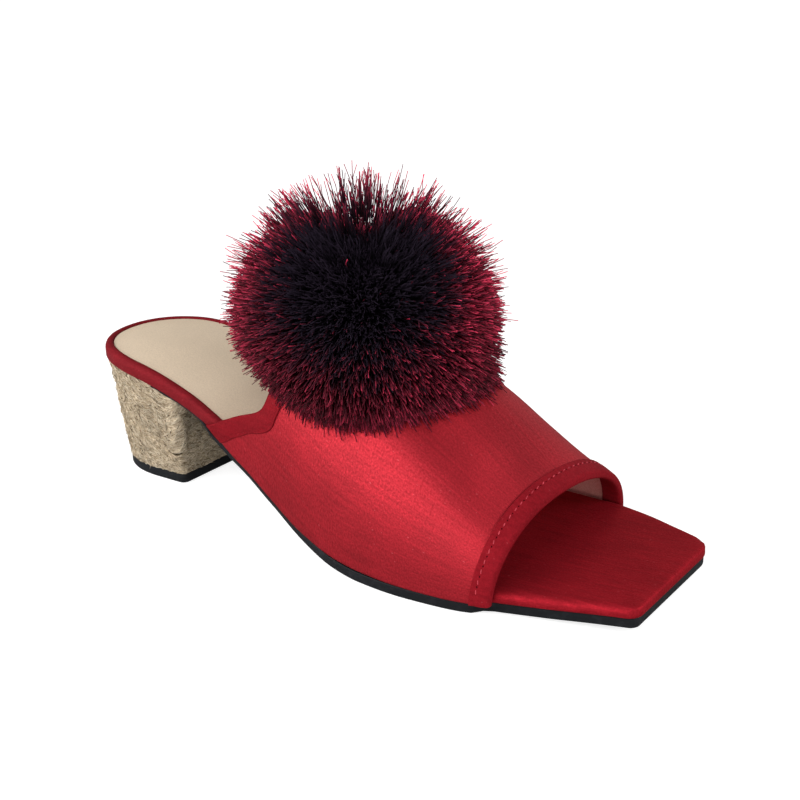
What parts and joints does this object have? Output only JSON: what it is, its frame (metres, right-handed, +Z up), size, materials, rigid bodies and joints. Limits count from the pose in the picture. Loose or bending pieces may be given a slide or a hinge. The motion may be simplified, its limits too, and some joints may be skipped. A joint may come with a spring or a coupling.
{
  "type": "heeled mule",
  "caption": "Open-toe backless mule with a bound satin vamp, a fluffy pompom on the instep, a wrapped footbed and a low block heel covered in woven fibre.",
  "frame": {"origin": "centre of the overall box on the floor", "axes": "+X from heel to toe, +Y to the wearer's left, the outer side of this left shoe, +Z up"},
  "size_m": [0.2454, 0.096, 0.128],
  "materials": {
    "satin": "red satin weave with a soft sheen",
    "sock_leather": "beige matt leather",
    "black_rubber": "black, matt",
    "jute": "natural plant fibre, rough and hairy",
    "pompom_fibre": "dark red bristly fibre, almost black at the crown"
  },
  "bodies": {
    "root": {"outsole": "black_rubber", "footbed": "satin", "sock_lining": "sock_leather", "heel": "jute", "heel_lift": "black_rubber", "upper": "satin", "toe_binding": "satin", "throat_binding": "satin", "pompom": "pompom_fibre"}
  },
  "joints": []
}
